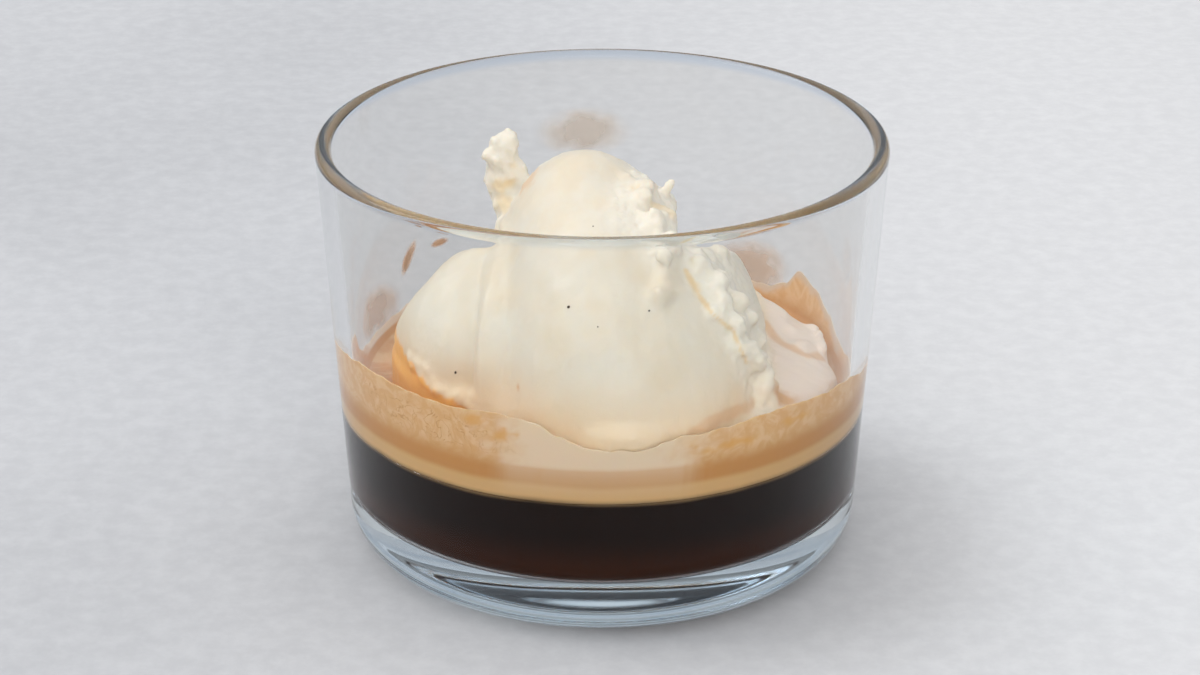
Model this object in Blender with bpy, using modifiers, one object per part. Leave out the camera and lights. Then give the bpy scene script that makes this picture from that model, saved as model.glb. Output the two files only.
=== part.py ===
"""Affogato: a scoop of vanilla ice cream in a low tumbler of espresso, with its crema round it.

Metres, +Z up, the origin at the middle of the glass's foot. -Y is the side that faces the viewer.
"""

import math

import bmesh
import bpy
import numpy as np
from mathutils import Matrix, Vector, noise

MM = 0.001
MERGE = 0.00005
FIT_GAP = 0.3 * MM

# The glass: a low, slightly conical tumbler with a thick base.
RIM_HEIGHT = 63.4 * MM
RIM_RADIUS = 42.0 * MM
BASE_RADIUS = 38.06 * MM
WALL = 2.4 * MM
RIM_ROUND = WALL / 2
HEEL_ROUND = 6.9 * MM
FLOOR = 8.5 * MM
FLOOR_ROUND = 4.0 * MM
FOOT_RING_INNER = 25.0 * MM
PUNT_RISE = 0.9 * MM
TAPER = (RIM_RADIUS - BASE_RADIUS) / RIM_HEIGHT
GLASS_TURNS = 72

# The drink: black espresso, and above it the crema, which clings to the wall as a collar.
COFFEE_TOP = 21.95 * MM
CREMA_BOTTOM = COFFEE_TOP + FIT_GAP
CREMA_TOP = 26.5 * MM
MENISCUS = 0.9 * MM
MENISCUS_REACH = 9.0 * MM
MENISCUS_BEND = 1.6 * MM
COLLAR_FOOT = 1.2 * MM
COLLAR_LIP = 0.7 * MM
COLLAR_SLOPE = 0.4
DRINK_TURNS = 72
# How high the collar stands at each bearing, in degrees round from +X, with -90 at the front.
COLLAR_HEIGHTS = {
    -165: 34.4, -140: 35.2, -112: 35.6, -99: 32.0, -88: 30.3, -72: 32.3, -50: 33.2, -12: 30.6,
    10: 28.6, 30: 32.6, 55: 34.5, 90: 33.0, 125: 31.5, 150: 28.3, 172: 29.5,
}

# The scoop: ellipsoids round one centre, each a middle and three half sizes, in millimetres.
SCOOP_CENTRE = Vector((-1.0, -8.0, 34.0)) * MM
SCOOP_LOBES = {
    "sunk_base": ((1.5, -9.0, 27.0), (23.5, 26.5, 18.7)),
    "ball": ((2.8, -8.6, 32.6), (20.4, 27.2, 24.6)),
    "middle": ((-0.6, -7.8, 33.4), (17.2, 27.6, 26.8)),
    "crown": ((-2.5, -5.0, 45.2), (12.7, 13.0, 17.1)),
    "left": ((-12.2, -5.5, 35.4), (18.4, 20.5, 16.8)),
    "right": ((6.2, -9.6, 30.5), (18.0, 25.6, 25.0)),
    "back": ((2.0, -2.0, 34.0), (21.0, 21.0, 19.5)),
}
LOBE_BLEND = 0.6 * MM
WAVES = 0.45 * MM
BACK_WAVES = 1.5 * MM
WAVE_SCALE, RIPPLE_SCALE = 95.0, 260.0
# Where the front, the back and the drink begin, and over what distance each fades in.
FRONT_START, FRONT_FADE = -6.0 * MM, 8.0 * MM
BACK_START, BACK_FADE = -2.0 * MM, 14.0 * MM
DRINK_LEVEL, DRINK_FADE = 28.0 * MM, 4.0 * MM
# The shoulders are flat, and slope down to the back.
SHOULDER_HEIGHT = 49.2 * MM
SHOULDER_SLOPE = -0.44
SHOULDER_REACH = 13.2 * MM
SHOULDER_MIDDLE = -2.2 * MM
SHOULDER_FADE = 1.2 * MM
SHOULDER_BACK_FADE = 0.14
# The left side falls away straight from its shoulder: the way that this side faces, and how far off it is.
LEFT_FACING = Vector((-0.763, 0.282, 0.647)).normalized()
LEFT_REACH = 24.0 * MM
LEFT_BLEND = 0.7 * MM
# The step beside the spoon's cut, left of the middle, as places along it: across and up.
CUT_LINE = ((-17.4, 30.0), (-17.6, 40.0), (-16.9, 46.0), (-15.4, 51.0), (-13.0, 55.0))
CUT_DEPTH = 1.5 * MM
CUT_EDGE = 0.9 * MM
CUT_FADE = 9.0 * MM
# The torn ridge down the right of the middle, and the one on the crown, in the same way.
RIDGE_LINE = (
    (13.4, 53.0), (15.6, 49.4), (17.0, 46.2), (19.2, 43.0), (20.7, 39.8), (22.2, 35.8), (22.6, 30.4),
)
RIDGE_DROP = 1.4 * MM
RIDGE_EDGE = 1.4 * MM
RIDGE_FADE = 8.0 * MM
CROWN_LINE = ((4.6, 59.0), (6.9, 57.5), (8.3, 54.4), (9.7, 50.0))
RIDGE_CRUMBS = 120
CROWN_CRUMBS = 70
RANDOM_SEED = 7

# The curl that stands up at the left of the crown: lumps from its root up, in millimetres.
CURL_LUMPS = (
    ((-12.3, 1.6, 49.6), (3.2, 3.4, 3.4)),
    ((-13.9, 2.4, 52.6), (2.7, 2.8, 2.6)),
    ((-14.9, 3.0, 55.6), (2.7, 2.7, 2.5)),
    ((-14.8, 3.0, 58.4), (2.6, 2.4, 2.3)),
    ((-14.1, 3.0, 60.3), (1.9, 1.9, 1.7)),
    ((-13.6, 3.0, 61.6), (1.3, 1.4, 1.3)),
    ((-12.9, 2.6, 56.6), (1.6, 2.0, 1.9)),
    ((-14.0, -1.6, 49.4), (1.6, 2.2, 2.2)),
)

# The melting skirt at the right, out to the wall, the fold that lies on it, and its torn edge.
SKIRT_LOBES = (
    ((17.5, -9.0, 27.0), (17.6, 25.0, 6.0)),
    ((24.0, 1.5, 28.4), (10.4, 13.5, 3.6)),
    ((20.5, 7.0, 30.4), (9.2, 10.4, 3.4)),
    ((4.0, -24.0, 27.4), (17.0, 13.0, 5.4)),
)
SKIRT_EDGE = [(30.5 - 0.045 * step * step, -7.0 + 1.9 * step, 30.2 + 0.1 * step) for step in range(16)]
WALL_CLEAR = COLLAR_FOOT + 2 * FIT_GAP

VOXEL = 0.72 * MM
SCOOP_TRIANGLES = 6600
CUTTER_GROWTH = 0.6 * MM
CUTTER_VOXEL = 1.1 * MM
CUTTER_TRIANGLES = 2400


def clear_scene():
    for thing in list(bpy.data.objects):
        bpy.data.objects.remove(thing)


def new_collection(name):
    collection = bpy.data.collections.new(name)
    bpy.context.scene.collection.children.link(collection)
    return collection


def finish_of(name, colour, roughness, transmission=0.0):
    material = bpy.data.materials.new(name)
    material.use_nodes = True
    shader = material.node_tree.nodes["Principled BSDF"]
    shader.inputs["Base Color"].default_value = (*colour, 1.0)
    shader.inputs["Roughness"].default_value = roughness
    shader.inputs["Metallic"].default_value = 0.0
    shader.inputs["Transmission Weight"].default_value = transmission
    return material


def add_object(name, mesh, collection, material=None):
    thing = bpy.data.objects.new(name, mesh)
    collection.objects.link(thing)
    if material:
        mesh.materials.append(material)
    return thing


def outer_radius(height):
    return BASE_RADIUS + TAPER * height


def inner_radius(height):
    return outer_radius(height) - WALL


def arc(middle, radius, start, end, steps):
    """Points of an arc in the profile plane, angles in degrees from the outward direction."""
    angles = np.radians(np.linspace(start, end, steps + 1))
    return [(middle[0] + radius * math.cos(a), middle[1] + radius * math.sin(a)) for a in angles]


def cone_round(radius_at, floor, rounding):
    """The middle of a round that touches both a flat at this height and the cone above it."""
    height = floor + rounding
    return radius_at(height) - rounding * math.hypot(1.0, TAPER), height


def turn(name, profile, turns, collection, material):
    """A profile of (radius, height), turned round Z with a Screw modifier."""
    mesh = bpy.data.meshes.new(name)
    points = [(r, 0.0, z) for r, z in profile]
    mesh.from_pydata(points, [(i, i + 1) for i in range(len(points) - 1)], [])
    thing = add_object(name, mesh, collection, material)
    screw = thing.modifiers.new("turn", "SCREW")
    screw.steps = screw.render_steps = turns
    screw.use_merge_vertices = True
    screw.merge_threshold = MERGE
    return thing


def as_mesh(thing):
    """The object with its modifiers made real, under the same name."""
    name, collection = thing.name, thing.users_collection[0]
    depsgraph = bpy.context.evaluated_depsgraph_get()
    mesh = bpy.data.meshes.new_from_object(thing.evaluated_get(depsgraph))
    material = thing.data.materials[0] if thing.data.materials else None
    bpy.data.objects.remove(thing)
    mesh.materials.clear()
    return add_object(name, mesh, collection, material)


def shade_round(thing, sharp_degrees=35.0):
    thing.data.shade_smooth()
    thing.data.set_sharp_from_angle(angle=math.radians(sharp_degrees))


def glass_profile():
    slope = math.degrees(math.atan(TAPER))
    heel = cone_round(outer_radius, 0.0, HEEL_ROUND)
    corner = cone_round(inner_radius, FLOOR, FLOOR_ROUND)
    rim_height = RIM_HEIGHT - RIM_ROUND
    rim = (outer_radius(rim_height) - RIM_ROUND, rim_height)
    profile = [(FOOT_RING_INNER, 0.0), (FOOT_RING_INNER * 0.86, PUNT_RISE * 0.45)]
    profile += [(FOOT_RING_INNER * 0.5, PUNT_RISE * 0.85), (0.0, PUNT_RISE)]
    over_the_rim = arc(rim, RIM_ROUND, 180.0, 0.0, 6)
    down_outside = arc(heel, HEEL_ROUND, -slope, -90.0, 6)
    up_inside = arc(corner, FLOOR_ROUND, -90.0, -slope, 4)
    return [(0.0, FLOOR), *up_inside, *over_the_rim, *down_outside, *profile]


def make_glass(collection):
    material = finish_of("clear_glass", (0.93, 0.96, 0.97), 0.02, 1.0)
    glass = turn("glass", glass_profile(), GLASS_TURNS, collection, material)
    shade_round(glass)
    return glass


def lobe_reach(directions, middle, half):
    """How far from the scoop's centre each direction leaves an ellipsoid that holds the centre."""
    half = np.array(half) * MM
    start = (np.array(SCOOP_CENTRE) - np.array(middle) * MM) / half
    step = directions / half
    a = (step**2).sum(1)
    b = step @ start
    c = start @ start - 1.0
    return (-b + np.sqrt(b * b - a * c)) / a


def along(line, heights):
    """The across value of a line of (across, up) places, at each height."""
    places = np.array(sorted(line, key=lambda place: place[1])) * MM
    return np.interp(heights, places[:, 1], places[:, 0])


def eased(values):
    values = np.clip(values, 0.0, 1.0)
    return values * values * (3.0 - 2.0 * values)


def scoop_reach(directions, growth=0.0):
    """The scoop's surface as a distance from its centre in each direction."""
    reaches = [lobe_reach(directions, *lobe) for lobe in SCOOP_LOBES.values()]
    reach = LOBE_BLEND * np.log(sum(np.exp(r / LOBE_BLEND - 60.0) for r in reaches)) + 60.0 * LOBE_BLEND
    points = np.array(SCOOP_CENTRE) + directions * reach[:, None]
    x, y, z = points.T
    in_front = eased((FRONT_START - y) / FRONT_FADE)
    above_drink = eased((z - DRINK_LEVEL) / DRINK_FADE)
    left_of_cut = along(CUT_LINE, z) - x
    step = eased(left_of_cut / CUT_EDGE) * eased(1.0 - left_of_cut / CUT_FADE)
    reach = reach - CUT_DEPTH * step * in_front * above_drink
    right_of_ridge = x - along(RIDGE_LINE, z)
    drop = eased(right_of_ridge / RIDGE_EDGE) * eased(1.0 - right_of_ridge / RIDGE_FADE)
    reach = reach - RIDGE_DROP * drop * in_front * above_drink
    # The shoulders are where a spoon has taken the top off each side of the middle.
    shoulder = SHOULDER_HEIGHT + SHOULDER_SLOPE * (y - SCOOP_CENTRE.y)
    cut_off = (shoulder - SCOOP_CENTRE.z) / np.maximum(directions[:, 2], 1e-6)
    flank = SHOULDER_FADE + SHOULDER_BACK_FADE * np.maximum(y - SCOOP_CENTRE.y, 0.0)
    beside = eased((np.abs(x - SHOULDER_MIDDLE) - SHOULDER_REACH) / flank)
    reach = reach - beside * np.maximum(reach - np.where(directions[:, 2] > 0.05, cut_off, 1.0), 0.0)
    beyond = reach - LEFT_REACH / np.maximum(directions @ np.array(LEFT_FACING), 0.05)
    reach = reach - LEFT_BLEND * np.logaddexp(0.0, beyond / LEFT_BLEND)
    places = [Vector(point) for point in points]
    waves = [noise.noise(p * WAVE_SCALE) + 0.5 * noise.noise(p * RIPPLE_SCALE) for p in places]
    height = WAVES + (BACK_WAVES - WAVES) * eased((y - BACK_START) / BACK_FADE)
    return reach + height * np.array(waves) * above_drink + growth


def front_point(across, up):
    """The point of the scoop's front at this place across and up, found by halving."""
    far, near = -42.0 * MM, SCOOP_CENTRE.y
    for _ in range(24):
        depth = (far + near) / 2
        offset = Vector((across, depth, up)) - SCOOP_CENTRE
        outside = offset.length > scoop_reach(np.array([offset.normalized()]))[0]
        far, near = (depth, near) if outside else (far, depth)
    return Vector((across, depth, up))


def add_lump(mesh, middle, half, turn_by=None, detail=2):
    """An icosphere squashed to an ellipsoid, added to a bmesh."""
    size = Matrix.Diagonal((*half, 1.0))
    place = Matrix.Translation(middle) @ (turn_by or Matrix.Identity(4)) @ size
    bmesh.ops.create_icosphere(mesh, subdivisions=detail, radius=1.0, matrix=place)


def random_turn(draw):
    turn_by = Matrix.Identity(4)
    for axis, angle in zip("XYZ", draw.uniform(0.0, math.tau, 3)):
        turn_by = turn_by @ Matrix.Rotation(angle, 4, axis)
    return turn_by


def add_crumbs(mesh, places, draw, spread, low, high):
    """Torn crumbs of ice cream, scattered round each place."""
    for place in places:
        middle = place + Vector(draw.normal(0.0, spread, 3))
        half = draw.uniform(low, high) * draw.uniform(0.65, 1.25, 3)
        add_lump(mesh, middle, half, random_turn(draw))


def points_along(line, count, draw):
    """Places on the scoop's front, evenly down a line of (across, up) with a little scatter."""
    heights = np.linspace(line[0][1], line[-1][1], count) * MM
    across = along(line, heights)
    return [front_point(a + draw.normal(0.0, 0.5 * MM), z) for a, z in zip(across, heights)]


def add_scoop_body(mesh, growth):
    found = bmesh.ops.create_icosphere(mesh, subdivisions=6, radius=1.0)
    directions = np.array([v.co.normalized() for v in found["verts"]])
    for vertex, direction, reach in zip(found["verts"], directions, scoop_reach(directions, growth)):
        vertex.co = SCOOP_CENTRE + Vector(direction * reach)


def add_skirt(mesh, growth):
    for middle, half in SKIRT_LOBES:
        grown = [size * MM + growth for size in half]
        add_lump(mesh, Vector(middle) * MM, grown, detail=5)


def add_torn_parts(mesh):
    draw = np.random.default_rng(RANDOM_SEED)
    for middle, half in CURL_LUMPS:
        add_lump(mesh, Vector(middle) * MM, [size * MM for size in half], random_turn(draw), 3)
        rough = [Vector(middle) * MM + Vector(draw.normal(0.0, 0.55 * min(half) * MM, 3)) for _ in range(4)]
        add_crumbs(mesh, rough, draw, 0.2 * MM, 0.7 * MM, 1.3 * MM)
    add_crumbs(mesh, points_along(RIDGE_LINE, RIDGE_CRUMBS, draw), draw, 0.7 * MM, 0.6 * MM, 1.4 * MM)
    add_crumbs(mesh, points_along(CROWN_LINE, CROWN_CRUMBS, draw), draw, 1.2 * MM, 0.7 * MM, 1.5 * MM)
    edge = [Vector(place) * MM for place in SKIRT_EDGE]
    add_crumbs(mesh, edge, draw, 0.5 * MM, 0.7 * MM, 1.5 * MM)


def keep_inside(thing, clearance, lowest):
    """Presses what would reach the collar back from the wall, and flattens what meets the floor."""
    for vertex in thing.data.vertices:
        vertex.co.z = max(vertex.co.z, lowest)
        reach = math.hypot(vertex.co.x, vertex.co.y)
        most = inner_radius(vertex.co.z) - clearance
        if reach > most:
            vertex.co.x *= most / reach
            vertex.co.y *= most / reach


def triangles_in(thing):
    return sum(len(face.vertices) - 2 for face in thing.data.polygons)


def drop_scraps(thing):
    """Keeps only the largest connected piece of a mesh."""
    mesh = bmesh.new()
    mesh.from_mesh(thing.data)
    unseen = set(mesh.verts)
    pieces = []
    while unseen:
        piece, edge = set(), [unseen.pop()]
        while edge:
            vertex = edge.pop()
            piece.add(vertex)
            near = {link.other_vert(vertex) for link in vertex.link_edges} & unseen
            unseen -= near
            edge.extend(near)
        pieces.append(piece)
    pieces.sort(key=len)
    bmesh.ops.delete(mesh, geom=[v for piece in pieces[:-1] for v in piece], context="VERTS")
    mesh.to_mesh(thing.data)
    mesh.free()


def skin(thing, voxel, smoothings, clearance, lowest, target):
    """Joins overlapping lumps into one skin, keeps it off the wall and thins it out."""
    remesh = thing.modifiers.new("skin", "REMESH")
    remesh.mode = "VOXEL"
    remesh.voxel_size = voxel
    smooth = thing.modifiers.new("soften", "SMOOTH")
    smooth.factor = 0.5
    smooth.iterations = smoothings
    thing = as_mesh(thing)
    drop_scraps(thing)
    keep_inside(thing, clearance, lowest)
    thin = thing.modifiers.new("thin", "DECIMATE")
    thin.ratio = target / triangles_in(thing)
    thin.use_collapse_triangulate = True
    return as_mesh(thing)


def lumps_object(name, collection, material, growth, with_torn_parts):
    mesh = bmesh.new()
    add_scoop_body(mesh, growth)
    add_skirt(mesh, growth)
    if with_torn_parts:
        add_torn_parts(mesh)
    data = bpy.data.meshes.new(name)
    mesh.to_mesh(data)
    mesh.free()
    return add_object(name, data, collection, material)


def make_ice_cream(collection):
    material = finish_of("vanilla_ice_cream", (0.86, 0.79, 0.66), 0.45)
    scoop = lumps_object("ice_cream", collection, material, 0.0, True)
    scoop = skin(scoop, VOXEL, 1, WALL_CLEAR, FLOOR + FIT_GAP, SCOOP_TRIANGLES)
    scoop.data.shade_smooth()
    return scoop


def make_hollow(collection):
    """The scoop without its crumbs, a little larger, to cut its place out of the drink."""
    hollow = lumps_object("scoop_hollow", collection, None, CUTTER_GROWTH, False)
    hollow = skin(hollow, CUTTER_VOXEL, 2, WALL_CLEAR - FIT_GAP, FLOOR - FIT_GAP, CUTTER_TRIANGLES)
    hollow.hide_render = True
    hollow.display_type = "WIRE"
    return hollow


def cut(thing, cutter):
    boolean = thing.modifiers.new("cut", "BOOLEAN")
    boolean.operation = "DIFFERENCE"
    boolean.solver = "EXACT"
    boolean.object = cutter


def drink_radius(height):
    return inner_radius(height) - FIT_GAP


def make_coffee(collection, hollow):
    """The espresso, from the glass's floor to the crema."""
    slope = math.degrees(math.atan(TAPER))
    bottom = FLOOR + FIT_GAP
    rounding = FLOOR_ROUND - FIT_GAP
    corner = cone_round(drink_radius, bottom, rounding)
    edge = arc(corner, rounding, -slope, -90.0, 4)
    top = (drink_radius(COFFEE_TOP), COFFEE_TOP)
    material = finish_of("espresso", (0.02, 0.009, 0.005), 0.1)
    coffee = turn("coffee", [(0.0, COFFEE_TOP), top, *edge, (0.0, bottom)], DRINK_TURNS, collection, material)
    coffee = as_mesh(coffee)
    cut(coffee, hollow)
    shade_round(coffee)
    return coffee


def collar_height(bearing):
    """The collar's height at a bearing in degrees, read off the table along a smooth curve."""
    bearings = sorted(COLLAR_HEIGHTS)
    around = [*(b - 360 for b in bearings), *bearings, *(b + 360 for b in bearings)]
    heights = [COLLAR_HEIGHTS[b] for b in bearings] * 3
    i = max(n for n, b in enumerate(around) if b <= bearing)
    share = eased(np.array((bearing - around[i]) / (around[i + 1] - around[i])))
    return float(heights[i] + (heights[i + 1] - heights[i]) * share) * MM


def make_crema(collection, hollow):
    """The foam layer, dished in the middle, with the collar that it leaves up the wall."""
    lip = CREMA_TOP + MENISCUS
    edge = drink_radius(CREMA_TOP)
    wall = drink_radius(lip)
    profile = [
        (0.0, CREMA_TOP),
        (edge - MENISCUS_REACH, CREMA_TOP),
        (edge - COLLAR_FOOT - MENISCUS_BEND, CREMA_TOP + MENISCUS * 0.3),
        (wall - COLLAR_FOOT, lip),
        (wall - COLLAR_LIP, RIM_HEIGHT),
        (wall, RIM_HEIGHT),
        (wall, lip),
        (drink_radius(CREMA_BOTTOM), CREMA_BOTTOM),
        (0.0, CREMA_BOTTOM),
    ]
    material = finish_of("crema", (0.55, 0.36, 0.19), 0.55)
    crema = as_mesh(turn("crema", profile, DRINK_TURNS, collection, material))
    for vertex in crema.data.vertices:
        if vertex.co.z > RIM_HEIGHT - MERGE:
            bearing = math.atan2(vertex.co.y, vertex.co.x)
            depth = wall - math.hypot(vertex.co.x, vertex.co.y)
            height = collar_height(math.degrees(bearing)) - depth * COLLAR_SLOPE
            reach = drink_radius(height) - depth
            vertex.co = (reach * math.cos(bearing), reach * math.sin(bearing), height)
    cut(crema, hollow)
    shade_round(crema)
    return crema


def main():
    clear_scene()
    parts = new_collection("affogato")
    cutters = new_collection("cutters")
    make_glass(parts)
    make_ice_cream(parts)
    hollow = make_hollow(cutters)
    make_coffee(parts, hollow)
    make_crema(parts, hollow)


main()
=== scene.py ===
# %% [markdown]
# # An affogato in its low glass
# A scoop of vanilla ice cream stands in black espresso, with the tan crema round it and up the wall.
# The solids of the part are already built. This lesson dresses them: every solid gets a finer
# piece in its place, with its own procedural finish, and then comes a plain pale floor and soft light.

# %% Load the solids
import math

import bpy
import numpy as np
from mathutils import Matrix, Vector, noise
from mathutils.bvhtree import BVHTree


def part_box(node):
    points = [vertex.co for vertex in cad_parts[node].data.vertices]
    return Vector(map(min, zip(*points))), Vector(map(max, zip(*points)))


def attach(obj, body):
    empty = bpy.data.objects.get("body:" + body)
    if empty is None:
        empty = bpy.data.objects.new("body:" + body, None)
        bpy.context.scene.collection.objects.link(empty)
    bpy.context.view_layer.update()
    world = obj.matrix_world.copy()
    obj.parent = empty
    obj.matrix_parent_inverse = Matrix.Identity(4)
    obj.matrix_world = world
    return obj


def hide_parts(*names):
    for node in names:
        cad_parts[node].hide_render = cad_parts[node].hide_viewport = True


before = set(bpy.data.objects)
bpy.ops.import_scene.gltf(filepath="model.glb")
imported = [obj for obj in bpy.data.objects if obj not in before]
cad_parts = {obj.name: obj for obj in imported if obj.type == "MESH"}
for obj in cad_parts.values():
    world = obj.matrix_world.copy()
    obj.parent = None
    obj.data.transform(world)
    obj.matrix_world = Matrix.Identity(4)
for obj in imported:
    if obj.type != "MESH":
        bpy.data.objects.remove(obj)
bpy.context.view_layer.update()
print("solids:", sorted(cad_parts))

# %% [markdown]
# ## Sizes
# The solids give the big sizes: the rim's height and radius, and the levels of the coffee and the crema.
# Only what a box can't tell, such as the thickness of the wall, is written down here as a real size.

# %% Name the sizes
MM = 0.001
glass_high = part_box("glass")[1]
coffee_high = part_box("coffee")[1]
crema_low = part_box("crema")[0]

RIM_HEIGHT = glass_high.z
WALL = 2.4 * MM
RIM_ROUND = WALL / 2
BASE_RADIUS = 38.06 * MM
TAPER = (glass_high.x - BASE_RADIUS) / (RIM_HEIGHT - RIM_ROUND)
HEEL_ROUND = 6.9 * MM
FLOOR = 8.5 * MM
FLOOR_ROUND = 4.0 * MM
FOOT_RING_INNER = 25.0 * MM
PUNT_RISE = 0.9 * MM
CREMA_LEVEL = 26.5 * MM
BITE = 0.15 * MM


def outer_radius(height):
    return BASE_RADIUS + TAPER * height


def inner_radius(height):
    return outer_radius(height) - WALL


print("rim", round(RIM_HEIGHT / MM, 1), "mm high, wall", WALL / MM, "mm")

# %% [markdown]
# ## Small helpers
# An operator acts on whatever is selected, so each piece starts by selecting nothing. Modifiers are
# applied as soon as they are set, so every piece ends as a plain mesh at the origin.

# %% Select, apply and finish
def new_object(name, data):
    piece = bpy.data.objects.new(name, data)
    bpy.context.scene.collection.objects.link(piece)
    return piece


def select_only(piece):
    bpy.ops.object.select_all(action="DESELECT")
    piece.select_set(True)
    bpy.context.view_layer.objects.active = piece


def apply_modifier(piece, kind, **settings):
    select_only(piece)
    modifier = piece.modifiers.new(kind.lower(), kind)
    for name, value in settings.items():
        setattr(modifier, name, value)
    bpy.ops.object.modifier_apply(modifier=modifier.name)


def triangles_in(piece):
    return sum(len(face.vertices) - 2 for face in piece.data.polygons)


def tidy_mesh(piece, merge=0.01 * MM):
    """Merges doubled vertices and turns all faces outwards."""
    select_only(piece)
    bpy.ops.object.mode_set(mode="EDIT")
    bpy.ops.mesh.select_all(action="SELECT")
    bpy.ops.mesh.remove_doubles(threshold=merge)
    bpy.ops.mesh.normals_make_consistent(inside=False)
    bpy.ops.object.mode_set(mode="OBJECT")


def smooth_shading(piece, degrees=40.0):
    select_only(piece)
    bpy.ops.object.shade_smooth_by_angle(angle=math.radians(degrees))


def place_of(piece):
    """All vertex places of a mesh as one array, in metres."""
    places = np.empty(len(piece.data.vertices) * 3)
    piece.data.vertices.foreach_get("co", places)
    return places.reshape(-1, 3)


def move_to(piece, places):
    piece.data.vertices.foreach_set("co", places.ravel())
    piece.data.update()


def reach_of(places):
    """How far each place is from the glass's axis."""
    return np.hypot(places[:, 0], places[:, 1])


def bearing_of(places):
    """The way that each place lies from the axis, in degrees: 0 is right, -90 is the front."""
    return np.degrees(np.arctan2(places[:, 1], places[:, 0]))


def set_reach(piece, places, reach):
    """Moves places straight out from the axis or in to it."""
    places[:, :2] *= (reach / np.maximum(reach_of(places), MM))[:, None]
    move_to(piece, places)


def give_values(piece, name, values):
    """Keeps one number for each vertex on the mesh, where a material can read it."""
    attribute = piece.data.attributes.new(name, "FLOAT", "POINT")
    attribute.data.foreach_set("value", np.asarray(values, dtype=np.float32))


def eased(values):
    values = np.clip(values, 0.0, 1.0)
    return values * values * (3.0 - 2.0 * values)


def between(values, low, high, fade):
    """One between two ends and nought outside them, with a soft step of this width at each end."""
    return eased((values - low) / fade + 0.5) * eased((high - values) / fade + 0.5)


def rag_of(places, scale, depth=3):
    """Fractal noise at each place, about -1 to 1, to break up the edge of a mark."""
    return np.array([noise.fractal(Vector(p) * scale, 0.8, 2.0, depth) for p in places])


def from_line(places, line):
    """How far each (across, up) place is from a chain of points in millimetres."""
    points = np.array(line) * MM
    nearest = np.full(len(places), 1.0)
    for start, end in zip(points, points[1:]):
        along = end - start
        share = np.clip((places - start) @ along / (along @ along), 0.0, 1.0)
        nearest = np.minimum(nearest, np.linalg.norm(places - start - share[:, None] * along, axis=1))
    return nearest


# %% [markdown]
# ## Turned shapes
# A tumbler, and what fills it, is round all the way about. A lathe is the natural tool, and Spin is
# Blender's lathe: one edge chain is drawn from its axis outwards and swept once round.

# %% Draw a profile and spin it
def arc(middle, radius, start, end, steps):
    angles = np.radians(np.linspace(start, end, steps + 1))
    return [(middle[0] + radius * math.cos(a), middle[1] + radius * math.sin(a)) for a in angles]


def cone_round(radius_at, floor, rounding):
    """The middle of a round that touches both a flat at this height and the cone above it."""
    height = floor + rounding
    return radius_at(height) - rounding * math.hypot(1.0, TAPER), height


def drawn_line(name, points):
    """An edge chain through (radius, height) points, extruded one vertex at a time."""
    bpy.ops.object.select_all(action="DESELECT")
    bpy.ops.mesh.primitive_plane_add(size=MM)
    piece = bpy.context.object
    piece.name = name
    bpy.ops.object.mode_set(mode="EDIT")
    bpy.ops.mesh.select_all(action="SELECT")
    bpy.ops.mesh.merge(type="CENTER")
    bpy.ops.transform.translate(value=(points[0][0], 0.0, points[0][1]))
    for here, there in zip(points, points[1:]):
        step = (there[0] - here[0], 0.0, there[1] - here[1])
        bpy.ops.mesh.extrude_region_move(TRANSFORM_OT_translate={"value": step})
    bpy.ops.object.mode_set(mode="OBJECT")
    return piece


def spun(name, points, turns):
    piece = drawn_line(name, points)
    bpy.ops.object.mode_set(mode="EDIT")
    bpy.ops.mesh.select_all(action="SELECT")
    bpy.ops.mesh.spin(steps=turns, angle=math.tau, center=(0, 0, 0), axis=(0, 0, 1))
    bpy.ops.object.mode_set(mode="OBJECT")
    tidy_mesh(piece)
    return piece


# %% [markdown]
# ## Colours and shared effects
# Colours are written as they look on a screen, from 0 to 255, and turned into the linear values that
# Blender's sockets take. Fine grain is in more than one finish, so it is a node group.

# %% Colour values and material starts
def seen(red, green, blue):
    """A colour as it looks on a screen, as linear values with alpha."""
    shares = [value / 255.0 for value in (red, green, blue)]
    return tuple(s / 12.92 if s <= 0.04045 else ((s + 0.055) / 1.055) ** 2.4 for s in shares) + (1.0,)


def fill(tree, node, inputs):
    """Gives a node its inputs: a socket is linked, and a plain value is set."""
    for name, value in inputs.items():
        if isinstance(value, bpy.types.NodeSocket):
            tree.links.new(value, node.inputs[name])
        else:
            node.inputs[name].default_value = value


def add_node(tree, kind, inputs, **settings):
    node = tree.nodes.new("ShaderNode" + kind)
    for name, value in settings.items():
        setattr(node, name, value)
    fill(tree, node, inputs)
    return node


def new_material(name):
    """A material, with its tree, its shader, and the place on the piece that patterns are laid by."""
    material = bpy.data.materials.new(name)
    material.use_nodes = True
    tree = material.node_tree
    place = add_node(tree, "TexCoord", {}).outputs["Object"]
    return material, tree, tree.nodes["Principled BSDF"], place


def attribute_value(tree, name):
    return add_node(tree, "Attribute", {}, attribute_name=name).outputs["Fac"]


def part_of(tree, place, axis):
    return add_node(tree, "SeparateXYZ", {"Vector": place}).outputs[axis]


def mixed(tree, factor, first, second):
    """Mixes two colours by a factor."""
    inputs = {"Factor": factor, "A": first, "B": second}
    return add_node(tree, "Mix", inputs, data_type="RGBA").outputs["Result"]


def ranged(tree, value, low, high, to_low=0.0, to_high=1.0):
    """A smooth step of a value between two ends."""
    inputs = {"Value": value, "From Min": low, "From Max": high, "To Min": to_low, "To Max": to_high}
    return add_node(tree, "MapRange", inputs, interpolation_type="SMOOTHSTEP").outputs["Result"]


def math_node(tree, operation, *values):
    return add_node(tree, "Math", dict(enumerate(values)), operation=operation).outputs[0]


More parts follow.
